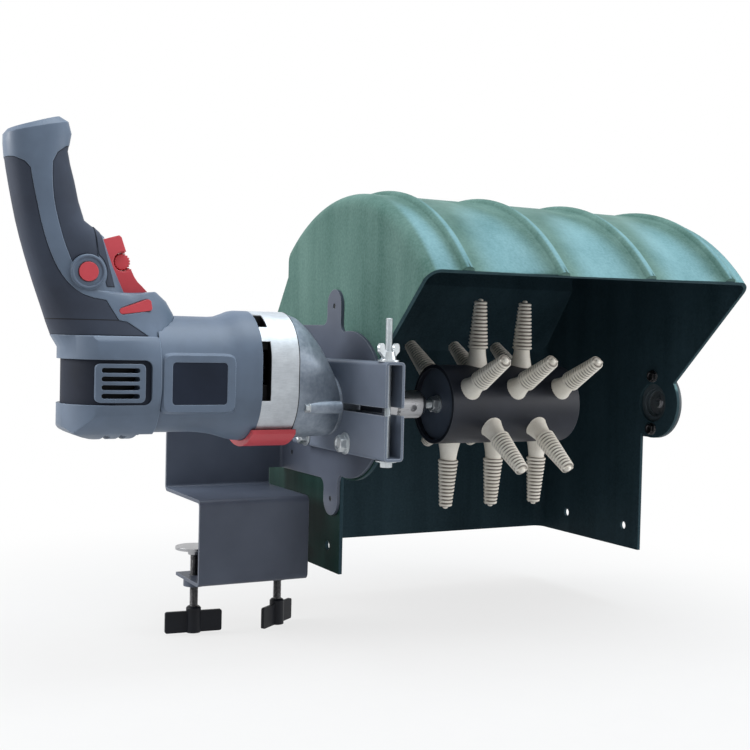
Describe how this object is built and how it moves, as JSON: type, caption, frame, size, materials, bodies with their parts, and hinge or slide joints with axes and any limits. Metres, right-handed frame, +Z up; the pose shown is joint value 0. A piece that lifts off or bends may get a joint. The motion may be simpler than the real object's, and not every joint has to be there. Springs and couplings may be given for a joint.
{
  "type": "poultry plucker",
  "caption": "Bench-clamped poultry plucker: a hand drill clamped by its neck turns a drum of ribbed rubber fingers under an arched open-fronted hood.",
  "frame": {"origin": "middle of the underside of the bench clamp's upper jaw", "axes": "+X along the drum axis from the drill to the tail bearing, +Y to the closed back of the hood, +Z up"},
  "size_m": [0.6899, 0.3319, 0.4505],
  "materials": {
    "hood_green": "satin moulded dark green",
    "bracket_steel": "dark blue-grey powder coat",
    "zinc_steel": "bright zinc plate",
    "bright_steel": "ground steel",
    "dark_steel": "dark oxide",
    "cast_alloy": "matt die casting",
    "drill_grey": "fine-grained moulded blue-grey",
    "grip_rubber": "matt soft grip",
    "red_plastic": "satin red",
    "black_plastic": "matt black",
    "cream_rubber": "matt cream",
    "copper": "turned copper"
  },
  "bodies": {
    "frame": {"hood": "hood_green", "hood_screws": "dark_steel", "tail_plate": "bracket_steel", "tail_bearing_housing": "black_plastic", "tail_bolts": "zinc_steel", "tail_nuts": "zinc_steel", "bench_bracket": "bracket_steel", "weld_bosses": "bracket_steel", "collar_tube": "bracket_steel", "collar_bolts": "zinc_steel", "collar_nuts": "zinc_steel", "clamp_stud": "zinc_steel", "handle_shell_near": "drill_grey", "handle_shell_far": "drill_grey", "rear_grip": "grip_rubber", "front_grip": "grip_rubber", "waist_band": "grip_rubber", "motor_housing": "drill_grey", "side_panels": "black_plastic", "gear_ring": "cast_alloy", "gear_nose": "cast_alloy", "shell_screws": "dark_steel", "cord_gland": "black_plastic", "motor_stator": "dark_steel", "carbon_brushes": "black_plastic", "motor_bearings": "bright_steel", "spindle_bearings": "bright_steel", "switch_module": "black_plastic"},
    "drum": {"spindle": "bright_steel", "spindle_gear": "bright_steel", "chuck_body": "bright_steel", "chuck_sleeve": "bright_steel", "chuck_jaws": "dark_steel", "drum_shaft": "zinc_steel", "drum_pipe": "black_plastic", "drum_discs": "black_plastic", "drum_washers": "zinc_steel", "drum_nuts": "zinc_steel", "rubber_fingers": "cream_rubber"},
    "rotor": {"armature": "dark_steel", "commutator": "copper", "fan": "black_plastic", "pinion": "bright_steel"},
    "tail_stub": {"tail_bearing_ring": "bright_steel", "tail_stub": "bright_steel"},
    "trigger": {"trigger": "red_plastic"},
    "speed_wheel": {"speed_wheel": "red_plastic"},
    "lock_button": {"lock_button": "red_plastic"},
    "direction_lever": {"direction_lever": "red_plastic"},
    "mode_selector": {"mode_selector": "red_plastic"},
    "clamp_washer": {"clamp_washer": "zinc_steel"},
    "wing_nut": {"wing_nut": "zinc_steel"},
    "pad_left": {"pad_left": "zinc_steel"},
    "pad_right": {"pad_right": "zinc_steel"},
    "screw_left": {"screw_left": "zinc_steel", "screw_handle_left": "black_plastic"},
    "screw_right": {"screw_right": "zinc_steel", "screw_handle_right": "black_plastic"}
  },
  "joints": [
    {"name": "drum_spin", "type": "hinge", "parent": "frame", "child": "drum", "pos_m": [0.233, -0.097, 0.092], "axis": [1, 0, 0], "continuous": true},
    {"name": "motor_spin", "type": "hinge", "parent": "frame", "child": "rotor", "pos_m": [-0.082, -0.097, 0.126], "axis": [1, 0, 0], "continuous": true},
    {"name": "tail_stub_spin", "type": "hinge", "parent": "frame", "child": "tail_stub", "pos_m": [0.423, -0.097, 0.092], "axis": [1, 0, 0], "continuous": true},
    {"name": "trigger_press", "type": "slide", "parent": "frame", "child": "trigger", "axis": [-0.9542, 0, -0.299], "range_m": [0, 0.007], "stiffness_N_per_m": 900, "springref_m": -0.004},
    {"name": "speed_wheel_turn", "type": "hinge", "parent": "trigger", "child": "speed_wheel", "pos_m": [-0.14453, -0.097, 0.21045], "axis": [0, 1, 0], "range_deg": [-140, 140]},
    {"name": "lock_press", "type": "slide", "parent": "frame", "child": "lock_button", "axis": [0, 1, 0], "range_m": [0, 0.003], "stiffness_N_per_m": 600, "springref_m": -0.002},
    {"name": "direction_shift", "type": "slide", "parent": "frame", "child": "direction_lever", "axis": [0, 1, 0], "range_m": [-0.003, 0.003]},
    {"name": "mode_shift", "type": "hinge", "parent": "frame", "child": "mode_selector", "pos_m": [-0.017, -0.097, 0.106], "axis": [1, 0, 0], "range_deg": [-6, 6]},
    {"name": "clamp_washer_slide", "type": "slide", "parent": "frame", "child": "clamp_washer", "axis": [0, 0, 1], "range_m": [0, 0.012]},
    {"name": "wing_nut_turn", "type": "hinge", "parent": "clamp_washer", "child": "wing_nut", "pos_m": [0.059, -0.189, 0.137], "axis": [0, 0, 1], "range_deg": [-60, 4400]},
    {"name": "pad_left_slide", "type": "slide", "parent": "frame", "child": "pad_left", "axis": [0, 0, 1], "range_m": [-0.0125, 0.019]},
    {"name": "screw_left_turn", "type": "hinge", "parent": "pad_left", "child": "screw_left", "pos_m": [-0.0425, -0.004, -0.088], "axis": [0, 0, 1], "range_deg": [-3700, 6000]},
    {"name": "pad_right_slide", "type": "slide", "parent": "frame", "child": "pad_right", "axis": [0, 0, 1], "range_m": [-0.0125, 0.019]},
    {"name": "screw_right_turn", "type": "hinge", "parent": "pad_right", "child": "screw_right", "pos_m": [0.0425, -0.004, -0.088], "axis": [0, 0, 1], "range_deg": [-3700, 6000]}
  ],
  "couplings": [
    {"joint": "motor_spin", "follows": "drum_spin", "ratio": -2.3333},
    {"joint": "wing_nut_turn", "follows": "clamp_washer_slide", "rad_per_m": 6283.2},
    {"joint": "screw_left_turn", "follows": "pad_left_slide", "rad_per_m": 5026.5},
    {"joint": "screw_right_turn", "follows": "pad_right_slide", "rad_per_m": 5026.5}
  ]
}
